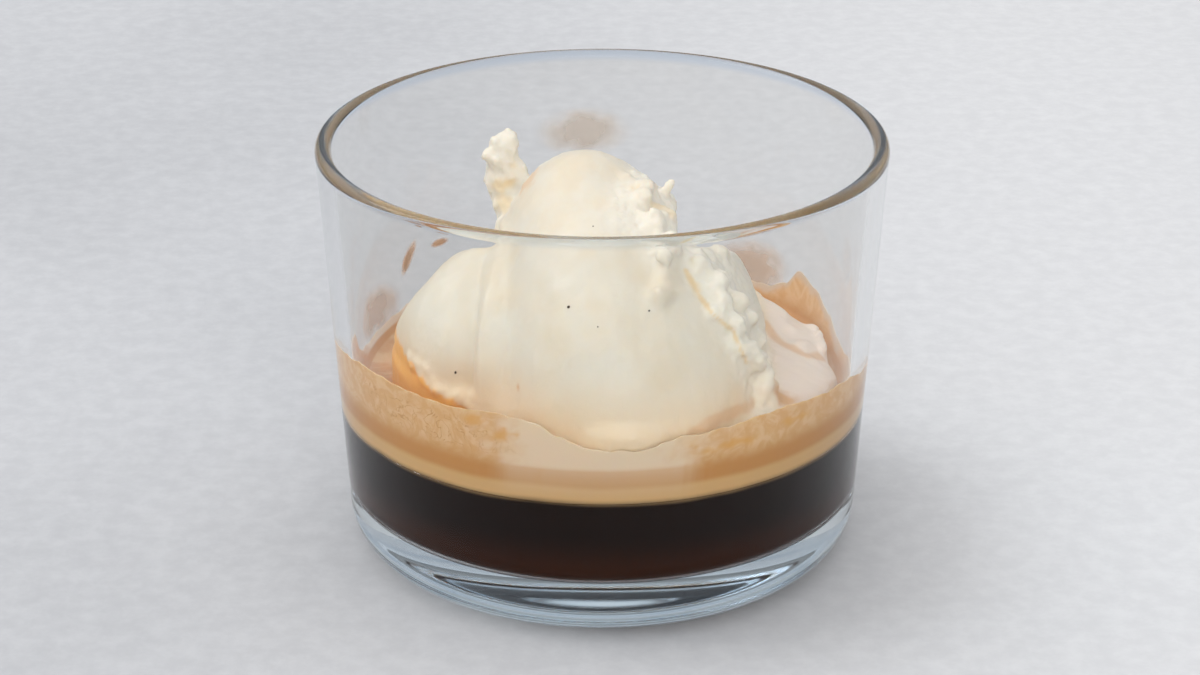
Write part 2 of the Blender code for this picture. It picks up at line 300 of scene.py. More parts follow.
def noise_value(tree, place, scale, detail=3.0, roughness=0.5, distortion=0.0):
    inputs = {"Vector": place, "Scale": scale, "Detail": detail}
    inputs |= {"Roughness": roughness, "Distortion": distortion}
    return add_node(tree, "TexNoise", inputs).outputs["Fac"]


def wavy_height(tree, place):
    """The height of each place with a slow wave on it, so that no band of colour is quite level."""
    wave = noise_value(tree, place, 45.0)
    return math_node(tree, "MULTIPLY_ADD", wave, 1.6 * MM, part_of(tree, place, "Z"))


# %% Shared group: fine grain
grain_group = bpy.data.node_groups.new("fine_grain", "ShaderNodeTree")
for label, side, kind in (
    ("Place", "INPUT", "NodeSocketVector"),
    ("Coarse Scale", "INPUT", "NodeSocketFloat"),
    ("Fine Scale", "INPUT", "NodeSocketFloat"),
    ("Height", "OUTPUT", "NodeSocketFloat"),
):
    grain_group.interface.new_socket(label, in_out=side, socket_type=kind)
given = grain_group.nodes.new("NodeGroupInput").outputs
coarse_part, fine_part = (
    add_node(grain_group, "TexNoise", {"Vector": given["Place"], "Scale": given[label], "Detail": 4.0})
    for label in ("Coarse Scale", "Fine Scale")
)
fine_share = math_node(grain_group, "MULTIPLY", fine_part.outputs["Fac"], 0.4)
grain_sum = math_node(grain_group, "ADD", coarse_part.outputs["Fac"], fine_share)
fill(grain_group, grain_group.nodes.new("NodeGroupOutput"), {"Height": grain_sum})


def grain(tree, place, coarse, fine):
    inputs = {"Place": place, "Coarse Scale": coarse, "Fine Scale": fine}
    return add_node(tree, "Group", inputs, node_tree=grain_group).outputs["Height"]


def bump(tree, shader, height, strength, distance):
    inputs = {"Height": height, "Strength": strength, "Distance": distance}
    fill(tree, shader, {"Normal": add_node(tree, "Bump", inputs).outputs["Normal"]})


print("shared group:", grain_group.name)

# %% [markdown]
# ## The tumbler
# A pressed and tempered tumbler: a thick base with a rounded heel, a wall that leans out a little, and
# a fire-polished rim. It could be a cylinder with a Solidify, but its base and wall differ in
# thickness, so the whole section is drawn and spun. 256 steps keep the rim round at any size.

# %% Model the tumbler
GLASS_STEPS = 256
GLASS_INDEX = 1.5
COFFEE_INDEX = 1.34


def wall_line(radius_at, low, high):
    """Points up a straight wall. The close ones at its ends keep the shading of a round off the wall."""
    heights = np.linspace(low, high, 10)
    heights[1] = low + 0.2 * MM
    heights[-2] = high - 0.2 * MM
    return [(radius_at(height), height) for height in heights]


def glass_section():
    slope = math.degrees(math.atan(TAPER))
    heel = cone_round(outer_radius, 0.0, HEEL_ROUND)
    corner = cone_round(inner_radius, FLOOR, FLOOR_ROUND)
    rim_height = RIM_HEIGHT - RIM_ROUND
    rim = (outer_radius(rim_height) - RIM_ROUND * math.hypot(1.0, TAPER), rim_height)
    inner_wall = wall_line(inner_radius, FLOOR + FLOOR_ROUND, rim_height)
    outer_wall = wall_line(outer_radius, HEEL_ROUND, rim_height - 0.2 * MM)
    floor = [(radius, FLOOR) for radius in (0.0, corner[0] - 0.4 * MM)]
    punt = [
        (FOOT_RING_INNER * math.cos(a), PUNT_RISE * math.sin(a))
        for a in np.linspace(0.0, math.pi / 2, 13)
    ]
    return [
        *floor,
        *arc(corner, FLOOR_ROUND, -90.0, -slope, 12),
        *inner_wall,
        *arc(rim, RIM_ROUND, 180.0 - slope, -slope, 20),
        *reversed(outer_wall),
        *arc(heel, HEEL_ROUND, -slope, -90.0, 16),
        (heel[0] - 0.3 * MM, 0.0),
        *punt,
    ]


tumbler = spun("tumbler", glass_section(), GLASS_STEPS)
smooth_shading(tumbler)
print("tumbler:", triangles_in(tumbler), "triangles")

# %% [markdown]
# Clear glass is a Principled shader with full transmission. Pressed glass is never quite flat, so a
# long, low wave bends its reflections a little, and its thick base has dark reflection streaks painted
# in.
# The glass takes a little light on the way, and its base is faintly blue. Its rim, where light has run up
# the whole wall, looks grey, and that grey is painted into the rim's colour. Rays from lamps pass
# straight through, or the contents would sit in a hard shadow that a bright room doesn't make.

# %% Finish the tumbler
GLASS_WALL = (0.915, 0.91, 0.90, 1.0)
GLASS_RIM_PAINTED_GREY = (0.64, 0.73, 0.85, 1.0)
GLASS_BASE = (0.93, 0.97, 0.99, 1.0)
GLASS_REFLECTION_STREAK = (0.62, 0.72, 0.80, 1.0)
GLASS_THROUGH = (0.16, 0.42, 0.60, 1.0)
GLASS_DENSITY = 6.5
GLASS_SHADOW = (0.93, 0.95, 0.96, 1.0)
BASE_BAND = (9.0 * MM, 6.0 * MM)
RIM_BAND = (61.6 * MM, 62.8 * MM)


def clear_glass():
    material, tree, shader, place = new_material("clear_glass")
    height = part_of(tree, place, "Z")
    drawn_out = add_node(tree, "Mapping", {"Vector": place, "Scale": (1.0, 1.0, 7.0)}).outputs["Vector"]
    # Painted reflection: dark blue streaks in the thick base.
    streaks = ranged(tree, noise_value(tree, drawn_out, 60.0, 3.0, 0.5, 0.6), 0.5, 0.66)
    base = mixed(tree, streaks, GLASS_BASE, GLASS_REFLECTION_STREAK)
    low = ranged(tree, height, *BASE_BAND)
    # Painted shade: the band at the rim is coloured grey.
    high = ranged(tree, height, *RIM_BAND)
    finish = {
        "Base Color": mixed(tree, high, mixed(tree, low, GLASS_WALL, base), GLASS_RIM_PAINTED_GREY),
        "Specular Tint": (0.25, 0.25, 0.25, 1.0),
        "Roughness": 0.0,
        "IOR": GLASS_INDEX,
        "Metallic": 0.0,
        "Transmission Weight": 1.0,
    }
    fill(tree, shader, finish)
    bump(tree, shader, noise_value(tree, place, 38.0, 1.0, 0.4), 0.08, 0.5 * MM)
    for_lamps = add_node(tree, "LightPath", {}).outputs["Is Shadow Ray"]
    let_through = add_node(tree, "BsdfTransparent", {"Color": GLASS_SHADOW}).outputs["BSDF"]
    surface = add_node(tree, "MixShader", {0: for_lamps, 1: shader.outputs["BSDF"], 2: let_through})
    depth = add_node(tree, "VolumeAbsorption", {"Color": GLASS_THROUGH, "Density": GLASS_DENSITY})
    ends = {"Surface": surface.outputs["Shader"], "Volume": depth.outputs["Volume"]}
    fill(tree, tree.nodes["Material Output"], ends)
    return material


tumbler.data.materials.append(clear_glass())
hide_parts("glass")
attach(tumbler, "root")
print("tumbler finished")

# %% [markdown]
# ## The scoop
# The solid of the ice cream already has the right masses: the middle that leans on the front wall, the
# two shoulders that a spoon has cut flat, the curl and the melting skirt. A copy of it is merged and
# subdivided until it is smooth, the way a sculptor starts from a block. Then the finer forms are moved
# in, torn crumbs are added along the ridges, and a voxel remesh joins it all into one skin.

# %% Copy the block and smooth it
def copy_of_node(node, name):
    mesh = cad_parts[node].data.copy()
    mesh.materials.clear()
    piece = new_object(name, mesh)
    tidy_mesh(piece)
    return piece


scoop = copy_of_node("ice_cream", "scoop")
apply_modifier(scoop, "SUBSURF", subdivision_type="SIMPLE", levels=2, render_levels=2)
apply_modifier(scoop, "SMOOTH", factor=0.5, iterations=12)
print("block:", triangles_in(scoop), "triangles")

# %% [markdown]
# Where the torn ridges run is given by a few places along each, across and up, and the front of the
# scoop is found by a ray from the viewer's side. The lines are the same ones that the solid follows.

# %% Lines on the front of the scoop
RIDGE_LINE = (
    (13.4, 53.0), (15.6, 49.4), (17.0, 46.2), (19.2, 43.0), (20.7, 39.8), (22.2, 35.8), (22.6, 30.4),
)
RIDGE_SHADE = ((11.5, 51.6), (13.4, 48.7), (15.4, 46.5), (18.0, 43.9), (19.1, 41.5), (20.0, 38.8))
CROWN_LINE = ((4.2, 59.2), (6.6, 58.0), (8.6, 56.4), (9.8, 54.0))
CUT_LINE = ((-17.8, 31.0), (-17.6, 37.0), (-17.3, 41.0), (-17.0, 45.7), (-16.5, 49.0), (-15.2, 52.0))
FOLD_LINE = ((3.2, 30.0), (3.6, 42.0), (3.0, 50.0), (1.5, 56.0))
CURL_MIDDLE = Vector((-14.2, 2.8, 56.5)) * MM
CURL_REACH = 8.0 * MM


def across_at(line, heights):
    places = np.array(sorted(line, key=lambda place: place[1])) * MM
    return np.interp(heights, places[:, 1], places[:, 0])


def surface_of(piece):
    return BVHTree.FromObject(piece, bpy.context.evaluated_depsgraph_get())


def front_of(surface, across, up):
    """The first point of a surface that a ray along +Y meets at this place."""
    hit = surface.ray_cast(Vector((across, -0.1, up)), Vector((0, 1, 0)))
    return hit[0], hit[1]


# %% Move the finer forms in
FOLD_DEPTH, FOLD_REACH = 0.55 * MM, 7.0 * MM
CUT_DEPTH, CUT_REACH = 1.1 * MM, 5.0 * MM
WIDEST_LEVEL = 34.5 * MM
PRESSED_IN = 0.1 * MM
GAP_CLOSED = 0.9 * MM
MELTED_BEARINGS = (-112.0, -62.0)


def shape_front(piece):
    """A soft fold down the middle sheet and a sharper step beside the spoon's cut."""
    places = place_of(piece)
    x, y, z = places.T
    front = eased((-8.0 * MM - y) / (8.0 * MM)) * eased((z - 28.0 * MM) / (3.0 * MM))
    from_fold = np.abs(x - across_at(FOLD_LINE, z))
    roof = FOLD_DEPTH * (1.0 - np.minimum(from_fold / FOLD_REACH, 1.0))
    left_of_cut = across_at(CUT_LINE, z) - x
    step = eased(left_of_cut / (0.5 * MM)) * eased(1.0 - left_of_cut / CUT_REACH)
    places[:, 1] += front * (CUT_DEPTH * step - roof)
    move_to(piece, places)


def keep_off_wall(piece, clearance):
    places = place_of(piece)
    most = inner_radius(places[:, 2]) - clearance
    places[:, :2] *= np.minimum(1.0, most / np.maximum(reach_of(places), MM))[:, None]
    move_to(piece, places)


def fill_under_shoulder(piece):
    """Below its widest level the left shoulder has melted straight down, where the crema stains it."""
    places = place_of(piece)
    z = places[:, 2]
    bearing, reach = bearing_of(places), reach_of(places)
    steps = np.arange(-180.0, -119.0, 2.0)
    at_widest = np.abs(z - WIDEST_LEVEL) < 1.5 * MM
    widest = [reach[at_widest & (np.abs(bearing - step) < 2.5)].max(initial=0.0) for step in steps]
    aim = np.interp(bearing, steps, widest) + 0.3 * MM
    share = between(bearing, -176.0, -126.0, 10.0) * eased((34.0 * MM - z) / (1.5 * MM))
    share = share * eased((reach - 12.0 * MM) / (6.0 * MM))
    set_reach(piece, places, reach + np.maximum(aim - reach, 0.0) * share)


def press_on_wall(piece):
    """Low in front the scoop has melted against the wall, so there it reaches a hair into the glass."""
    places = place_of(piece)
    wall = inner_radius(places[:, 2]) + PRESSED_IN
    here = between(bearing_of(places), *MELTED_BEARINGS, 12.0)
    here = here * eased((35.0 * MM - places[:, 2]) / (3.0 * MM))
    gap = np.maximum(wall - reach_of(places), 0.0)
    closed = gap * eased((gap - GAP_CLOSED) / (1.6 * MM))
    set_reach(piece, places, wall - (gap + (closed - gap) * here))


shape_front(scoop)
fill_under_shoulder(scoop)
print("front shaped")

# %% [markdown]
# ## Torn crumbs
# Cold ice cream tears where the scoop or the spoon lets go of it, and leaves a crust of small crumbs.
# One lump is modelled and copied many times over, squashed and turned at random, along each ridge.
# The draws are seeded, so that the crumbs lie the same way every time.

# %% Model one lump and scatter it
def one_lump():
    bpy.ops.object.select_all(action="DESELECT")
    bpy.ops.mesh.primitive_ico_sphere_add(subdivisions=2, radius=1.0)
    lump = bpy.context.object
    places = place_of(lump)
    faces = [tuple(face.vertices) for face in lump.data.polygons]
    bpy.data.objects.remove(lump)
    return places, faces


LUMP_PLACES, LUMP_FACES = one_lump()


def random_turn(draw):
    axis = Vector(draw.normal(0.0, 1.0, 3)).normalized()
    return np.array(Matrix.Rotation(draw.uniform(0.0, math.tau), 3, axis))


def lumps(name, middles, sizes, draw):
    """One mesh of many squashed lumps, each a middle and a size."""
    vertices, faces = [], []
    for middle, size in zip(middles, sizes):
        squash = size * draw.uniform(0.75, 1.2, 3)
        turned = (LUMP_PLACES * squash) @ random_turn(draw).T
        first = len(vertices) * len(LUMP_PLACES)
        vertices.append(turned + np.array(middle))
        faces += [tuple(first + i for i in face) for face in LUMP_FACES]
    mesh = bpy.data.meshes.new(name)
    mesh.from_pydata(np.concatenate(vertices).tolist(), [], faces)
    return new_object(name, mesh)


def joined(first, *others):
    select_only(first)
    for other in others:
        other.select_set(True)
    bpy.ops.object.join()
    return first


# %% Crumbs along the ridges, the crown and the curl
SUNK = (0.25, 0.8)
STEEP = 0.85
SKIRT_HEIGHT = 29.8 * MM


def crumbs_along(line, count, aside, spreads, sizes, draw, name):
    """Crumbs scattered about a line moved aside, over a width that changes from its top to its foot."""
    surface = surface_of(scoop)
    share = np.sort(draw.uniform(0.0, 1.0, count))
    heights = (line[0][1] + (line[-1][1] - line[0][1]) * share) * MM
    spread = (spreads[0] + (spreads[1] - spreads[0]) * share) * MM
    aside = aside * MM + np.clip(draw.normal(0.0, 1.0, count), -1.7, 1.7) * spread
    middles, kept = [], []
    drawn = zip(across_at(line, heights) + aside, heights, draw.uniform(*sizes, count) * MM)
    for across, up, size in drawn:
        found, normal = front_of(surface, across, up)
        if found is not None and abs(normal.x) < STEEP:
            middles.append(found - normal * draw.uniform(*SUNK) * size)
            kept.append(size)
    return lumps(name, middles, kept, draw)


def crumbs_near(middle, reach, count, sizes, draw, name):
    """Crumbs on the surface within a reach of a place."""
    surface = surface_of(scoop)
    middles, kept = [], []
    for size in draw.uniform(*sizes, count) * MM:
        aim = Vector(middle) * MM + Vector(draw.normal(0.0, reach * 0.5 * MM, 3))
        found, normal = surface.find_nearest(aim)[:2]
        if (found - Vector(middle) * MM).length < reach * MM:
            middles.append(found - normal * draw.uniform(*SUNK) * size)
            kept.append(size)
    return lumps(name, middles, kept, draw)


def fringe_along(first, last, count, sizes, draw, name):
    """Crumbs along the outer edge of the skirt, between two bearings in degrees."""
    places = place_of(scoop)
    bearing = bearing_of(places)
    reach = reach_of(places) * (places[:, 2] > SKIRT_HEIGHT)
    middles = []
    for aim in draw.uniform(first, last, count):
        nearest = np.where(np.abs(bearing - aim) < 1.5, reach, 0.0).argmax()
        middles.append(places[nearest] + draw.normal(0.0, 0.25 * MM, 3))
    return lumps(name, middles, draw.uniform(*sizes, count) * MM, draw)


STAIN_LINE = (
    (-30.6, 37.4), (-29.0, 36.5), (-26.8, 35.5), (-24.2, 33.6), (-21.0, 31.9), (-18.0, 30.9),
    (-15.0, 29.6),
)
RIDGE_FOOT = (
    (22.2, -21.6, 36.4), (22.4, -22.0, 35.2), (22.4, -22.4, 34.0), (22.2, -22.9, 32.9),
    (21.5, -23.8, 31.8),
)
draw = np.random.default_rng(11)
crumbs = [
    crumbs_along(RIDGE_LINE, 60, 0.3, (1.3, 0.4), (1.0, 1.8), draw, "ridge_lumps"),
    crumbs_along(RIDGE_LINE, 300, 0.5, (1.5, 0.6), (0.25, 0.6), draw, "ridge_crumbs"),
    crumbs_along(CROWN_LINE, 30, 0.0, (1.2, 0.8), (0.7, 1.3), draw, "crown_lumps"),
    crumbs_along(CROWN_LINE, 130, 0.0, (1.5, 1.1), (0.25, 0.55), draw, "crown_crumbs"),
    lumps("ridge_foot", np.array(RIDGE_FOOT) * MM, np.array((1.5, 1.9, 2.1, 2.0, 1.6)) * MM, draw),
    crumbs_near((-14.4, 2.2, 57.5), 7.5, 34, (0.8, 1.2), draw, "curl_lumps"),
    crumbs_near((-14.2, 2.8, 56.5), 8.0, 220, (0.3, 0.65), draw, "curl_crumbs"),
    crumbs_along(STAIN_LINE, 110, 0.0, (0.9, 1.4), (0.5, 1.0), draw, "stain_lumps"),
    fringe_along(-3.0, 17.0, 60, (0.4, 0.9), draw, "skirt_fringe"),
]
print("crumbs:", sum(len(piece.data.vertices) // len(LUMP_PLACES) for piece in crumbs))

# %% [markdown]
# A voxel remesh wraps everything in one even skin, like a fine shrink film, so the crumbs grow out of
# the scoop and nothing lies loose inside. The voxel is 0.4 mm, which a close look still shows.

# %% Join into one skin
VOXEL = 0.4 * MM


def largest_part(piece, name):
    """Keeps only the largest connected part of a mesh."""
    select_only(piece)
    bpy.ops.mesh.separate(type="LOOSE")
    parts = sorted(bpy.context.selected_objects, key=lambda part: len(part.data.vertices))
    for part in parts[:-1]:
        bpy.data.objects.remove(part)
    parts[-1].name = name
    return parts[-1]


scoop = joined(scoop, *crumbs)
apply_modifier(scoop, "REMESH", mode="VOXEL", voxel_size=VOXEL)
apply_modifier(scoop, "SMOOTH", factor=0.5, iterations=3)
scoop = largest_part(scoop, "scoop")
keep_off_wall(scoop, 0.6 * MM)
print("scoop:", triangles_in(scoop), "triangles")

# %% [markdown]
# Where the surface is torn it gets a rough relief, and where a warm scoop has slid over it only long
# shallow drags. A number on each vertex says how torn it is, and both the relief and the colour read it.

# %% Mark the torn places and roughen them
def along_ridges(places):
    x, y, z = places.T
    torn = np.zeros(len(places))
    for line, width in ((RIDGE_LINE, 2.8 * MM), (CROWN_LINE, 3.6 * MM)):
        low, high = line[-1][1] * MM, line[0][1] * MM
        near = eased(1.4 - from_line(places[:, ::2], line) / width)
        along = between(z, low - MM, high + MM, 2 * MM)
        torn = np.maximum(torn, near * along * eased((4 * MM - y) / (6 * MM)))
    curl_away = np.linalg.norm(places - np.array(CURL_MIDDLE), axis=1)
    torn = np.maximum(torn, eased(1.5 - curl_away / CURL_REACH))
    back = eased((y - 2.0 * MM) / (9.0 * MM)) * eased((z - 30.0 * MM) / (6.0 * MM))
    return np.maximum(torn, 0.55 * back)


def roughen(piece, torn):
    """Moves each vertex along its normal by noise, more where it is torn."""
    places = place_of(piece)
    normals = np.empty(len(places) * 3)
    piece.data.vertices.foreach_get("normal", normals)
    normals = normals.reshape(-1, 3)
    relief = np.array([noise.fractal(Vector(p) * 900.0, 0.9, 2.1, 3) for p in places])
    drag = np.array([noise.noise(Vector((p[0] * 500.0, p[1] * 500.0, p[2] * 160.0))) for p in places])
    height = relief * (0.035 + 0.22 * torn) + drag * 0.10 * (1.0 - torn)
    move_to(piece, places + normals * height[:, None] * MM)


torn = along_ridges(place_of(scoop))
roughen(scoop, torn)
keep_off_wall(scoop, 0.5 * MM)
press_on_wall(scoop)
give_values(scoop, "torn", torn)
smooth_shading(scoop, 180.0)
print("torn share:", round(float(torn.mean()), 3))

# %% [markdown]
# Ice cream is dense white foam: light goes a few millimetres in and comes out warm. Subsurface
# scattering gives that, with a satin skin where it melts. The colour shifts by place: painted yellow
# shade at the foot of the torn ridge and in its pits, tan where melted crema has run over it and painted
# tan shade in a valley and on the skirt, pinkish on the skirt, and orange where the crema has stained it.
# Each of these is a number on every vertex that the finish reads.

# %% Say where the scoop is stained
SMEAR_LINE = ((12.6, 32.1), (14.4, 32.4), (16.6, 33.0), (18.8, 32.8), (20.4, 32.4))
CREASE_LINE = ((24.6, 2.4), (26.6, -2.4), (28.7, -4.9), (30.3, -5.9), (32.6, -3.4))
# Of the tan spots, the first, on the skirt by the ridge's foot, and the second, in the valley between the
# curl and the dome, are painted shade. The third is a speck.
# Each row of the next two: place, radius and strength.
TAN_AND_SHADE_SPOTS = (
    (25.2, -21.3, 31.7, 2.6, 1.0), (-10.8, -3.8, 57.6, 2.9, 0.55), (-11.6, -29.1, 36.7, 0.5, 0.8),
)
PITS = (
    (-13.7, 0.8, 55.8, 1.3, 1.0), (-15.1, 0.6, 55.4, 1.1, 0.9), (-14.3, 0.0, 52.8, 1.8, 0.8),
    (-13.2, 1.4, 58.2, 1.0, 0.6), (8.2, -13.2, 57.4, 1.6, 0.8), (4.6, -10.8, 58.6, 1.3, 0.7),
    (7.4, -9.0, 58.4, 1.3, 0.7), (9.8, -13.8, 56.8, 1.4, 0.7), (13.0, -24.4, 49.6, 1.2, 0.7),
)


def spots_at(places, spots, rag):
    """Soft ragged spots, each a place, a radius and a strength, in millimetres."""
    values = np.zeros(len(places))
    for x, y, z, radius, strength in spots:
        away = np.linalg.norm(places - np.array((x, y, z)) * MM, axis=1) / (radius * MM)
        values = np.maximum(values, strength * eased(1.35 - away + 0.5 * rag))
    return values


def stain_values(places, rag):
    """Where crema has stained the underside of the left shoulder."""
    x, y, z = places.T
    level = across_at([(height, across) for across, height in STAIN_LINE], x)
    return eased((level + 0.8 * MM * rag - z) / (0.7 * MM)) * eased((-15.0 * MM - x) / (2.5 * MM))


def painted_yellow_shade_values(places, rag):
    """Painted yellow shade along the left foot of the torn ridge, and in the pits of the torn parts."""
    # Painted shade: yellow in a thin line where the torn crumbs overhang the sheet, and in the pits.
    line = eased(1.3 - from_line(places[:, ::2], RIDGE_SHADE) / (0.3 * MM) + 0.6 * rag)
    front = eased((-14.0 * MM - places[:, 1]) / (4.0 * MM))
    return np.maximum(0.6 * line * front, 0.5 * spots_at(places, PITS, rag))


def tan_and_shade_values(places, rag):
    """Tan marks: a real smear at the foot, a tan line in the skirt's crease, a speck, and painted tan
    shade in the valley by the curl and on the skirt by the ridge's foot.
    """
    smear = eased(1.4 - from_line(places[:, ::2], SMEAR_LINE) / (0.9 * MM) + 0.5 * rag)
    smear = smear * eased((-20.0 * MM - places[:, 1]) / (3.0 * MM))
    crease = eased(1.5 - from_line(places[:, :2], CREASE_LINE) / (0.8 * MM) + 0.3 * rag)
    crease = crease * eased((35.0 * MM - places[:, 2]) / (1.5 * MM))
    return np.maximum(np.maximum(0.5 * smear, 0.7 * crease), spots_at(places, TAN_AND_SHADE_SPOTS, rag))


def blush_values(places):
    x, y, z = places.T
    return eased((x - 24.0 * MM) / (2.0 * MM)) * eased((35.0 * MM - z) / (2.5 * MM))


scoop_places = place_of(scoop)
rag = rag_of(scoop_places, 420.0)
give_values(scoop, "stain", stain_values(scoop_places, rag))
give_values(scoop, "painted_yellow_shade", painted_yellow_shade_values(scoop_places, rag))
give_values(scoop, "tan", tan_and_shade_values(scoop_places, rag))
give_values(scoop, "blush", blush_values(scoop_places))
print("stains marked")

# %% Finish the scoop
ICE_CREAM = seen(227, 221, 207)
ICE_CREAM_WARM = seen(226, 215, 194)
PAINTED_YELLOW_SHADE = seen(232, 200, 138)
BLUSH = seen(238, 221, 207)
STAIN = seen(246, 188, 106)
TAN_RUN_AND_SHADE = seen(222, 178, 134)
FOOT_CREAM = seen(238, 213, 178)
TORN_WHITE = seen(240, 236, 225)


def ice_cream_finish():
    material, tree, shader, place = new_material("vanilla_ice_cream")
    mottle = ranged(tree, noise_value(tree, place, 110.0, 4.0, 0.55), 0.35, 0.7)
    colour = mixed(tree, mottle, ICE_CREAM, ICE_CREAM_WARM)
    low = ranged(tree, part_of(tree, place, "Z"), 44.0 * MM, 29.0 * MM, 0.0, 0.85)
    colour = mixed(tree, low, colour, FOOT_CREAM)
    torn = attribute_value(tree, "torn")
    colour = mixed(tree, math_node(tree, "MULTIPLY", torn, 0.6), colour, TORN_WHITE)
    # The yellow mark is painted shade. The tan mark is real runs together with some painted shade.
    for name, tone in (("blush", BLUSH), ("painted_yellow_shade", PAINTED_YELLOW_SHADE), ("tan", TAN_RUN_AND_SHADE), ("stain", STAIN)):
        colour = mixed(tree, attribute_value(tree, name), colour, tone)
    finish = {
        "Base Color": colour,
        "Subsurface Weight": 0.5,
        "Subsurface Radius": (1.0, 0.8, 0.6),
        "Subsurface Scale": 1.2 * MM,
        "IOR": 1.38,
        "Roughness": ranged(tree, torn, 0.0, 1.0, 0.42, 0.62),
    }
    fill(tree, shader, finish)
    bump(tree, shader, grain(tree, place, 900.0, 3200.0), 0.35, 0.12 * MM)
    return material


scoop.data.materials.append(ice_cream_finish())
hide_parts("ice_cream")
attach(scoop, "root")
print("scoop finished")

# %% [markdown]
# ## Vanilla seeds
# A few ground seeds show as dark specks on the front. They could be painted, but each is a real grain,
# so one flattened pebble is copied to a handful of places on the surface.

# %% Place the seeds
SEEDS = ((-4.6, 49.0, 0.2), (-20.6, 35.8, 0.2), (6.4, 48.5, 0.13), (-1.3, 57.2, 0.11), (-0.6, 47.1, 0.11))
surface = surface_of(scoop)
seed_middles = [front_of(surface, x * MM, z * MM)[0] for x, z, size in SEEDS]
draw = np.random.default_rng(5)
seeds = lumps("vanilla_seeds", seed_middles, [size * MM for x, z, size in SEEDS], draw)
smooth_shading(seeds, 180.0)


def seed_finish():
    material, tree, shader, place = new_material("vanilla_seed")
    colour = mixed(tree, noise_value(tree, place, 4000.0), seen(38, 28, 20), seen(84, 64, 46))
    fill(tree, shader, {"Base Color": colour, "Roughness": 0.5})
    return material


seeds.data.materials.append(seed_finish())
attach(seeds, "root")
print("seeds:", len(seed_middles))

# %% [markdown]
# ## The espresso
# The coffee fills the glass from its floor to the crema, with the sunken foot of the scoop in it. Its
# outside reaches a hair into the wall, because a gap of air there would show as a bright film.

# %% Model the espresso
DRINK_STEPS = 192
FOOT_VOXEL = 1.2 * MM
FOOT_SHRINK = 0.5 * MM


def drink_radius(height):
    return inner_radius(height) + BITE


def sunken_foot():
    """The solid of the scoop, a little smaller, to cut its place out of what it stands in."""
    cutter = copy_of_node("ice_cream", "sunken_foot")
    apply_modifier(cutter, "REMESH", mode="VOXEL", voxel_size=FOOT_VOXEL)
    apply_modifier(cutter, "DISPLACE", strength=-FOOT_SHRINK, mid_level=0.0)
    return cutter


def cut_out(piece, cutter):
    apply_modifier(piece, "BOOLEAN", operation="DIFFERENCE", object=cutter, solver="EXACT")


foot = sunken_foot()
slope = math.degrees(math.atan(TAPER))
bottom = FLOOR - BITE
corner = cone_round(drink_radius, bottom, FLOOR_ROUND)
coffee_top = coffee_high.z + BITE
espresso = spun(
    "espresso_pool",
    [
        (0.0, coffee_top),
        *reversed(wall_line(drink_radius, bottom + FLOOR_ROUND, coffee_top)),
        *arc(corner, FLOOR_ROUND, -slope, -90.0, 12),
        (corner[0] - 0.4 * MM, bottom),
        (0.0, bottom),
    ],
    DRINK_STEPS,
)
cut_out(espresso, foot)
smooth_shading(espresso)
print("espresso:", triangles_in(espresso), "triangles")

# %% [markdown]
# Espresso is so dark that it reads as black. A red-brown glow is painted into it near the bottom, where
# the base lets light in, and it has a soft start under the crema where foam is still rising through it.

# %% Finish the espresso
PAINTED_GLOW_BAND = (18.0 * MM, 9.0 * MM)
FOAM_BAND = (22.4 * MM, 23.9 * MM)


def espresso_finish():
    material, tree, shader, place = new_material("espresso")
    height = wavy_height(tree, place)
    low = ranged(tree, height, *PAINTED_GLOW_BAND)
    # Painted light: red-brown near the bottom, for the light that comes in through the base.
    colour = mixed(tree, low, seen(24, 11, 7), seen(62, 28, 9))
    colour = mixed(tree, ranged(tree, height, *FOAM_BAND), colour, seen(214, 176, 124))
    fill(tree, shader, {"Base Color": colour, "Roughness": 0.05, "IOR": COFFEE_INDEX / GLASS_INDEX})
    return material


espresso.data.materials.append(espresso_finish())
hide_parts("coffee")
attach(espresso, "root")
print("espresso finished")

# %% [markdown]
# ## The crema
# Crema is a layer of fine foam. It was higher when the coffee was poured, and it has left a collar up
# the wall whose edge rises and falls round the glass. The layer and its collar are spun as one section,
# then the top edge is moved, turn by turn, to the heights that the photograph shows. It reaches a hair
# into the wall, so that no film of air shows between them.

# %% Model the crema
COLLAR_HEIGHTS = {
    -168: 34.0, -150: 35.4, -127: 34.9, -111: 35.4, -104: 34.5, -99: 32.6, -90: 30.6, -82: 30.6,
    -72: 32.4, -50: 33.2, -29: 32.2, -12: 30.4, 4: 28.4, 10: 28.6, 17: 30.4, 26: 32.8, 33: 33.8,
    38: 31.0, 44: 29.2, 70: 28.8, 100: 29.4, 130: 29.0, 146: 28.5, 153: 27.9, 160: 27.7, 168: 27.7,
    175: 27.9, 179: 29.2, 184: 33.2,
}
MENISCUS = 0.9 * MM
MENISCUS_START, MENISCUS_RUN = 2.4, 1.4
FILM_FOOT, FILM_THINNING = 1.0, 0.75
COLLAR_RINGS = 16
COLLAR_RAG = 0.35 * MM
LIP = CREMA_LEVEL + MENISCUS
SWELL, SWELL_REACH = 0.45 * MM, 34.0 * MM
HAIR = 0.01 * MM


def collar_height(bearing):
    bearings = sorted(COLLAR_HEIGHTS)
    around = np.array([b + turn for turn in (-360, 0, 360) for b in bearings])
    heights = np.tile([COLLAR_HEIGHTS[b] for b in bearings], 3)
    i = np.searchsorted(around, bearing, side="right") - 1
    share = eased((bearing - around[i]) / (around[i + 1] - around[i]))
    return (heights[i] + (heights[i + 1] - heights[i]) * share) * MM


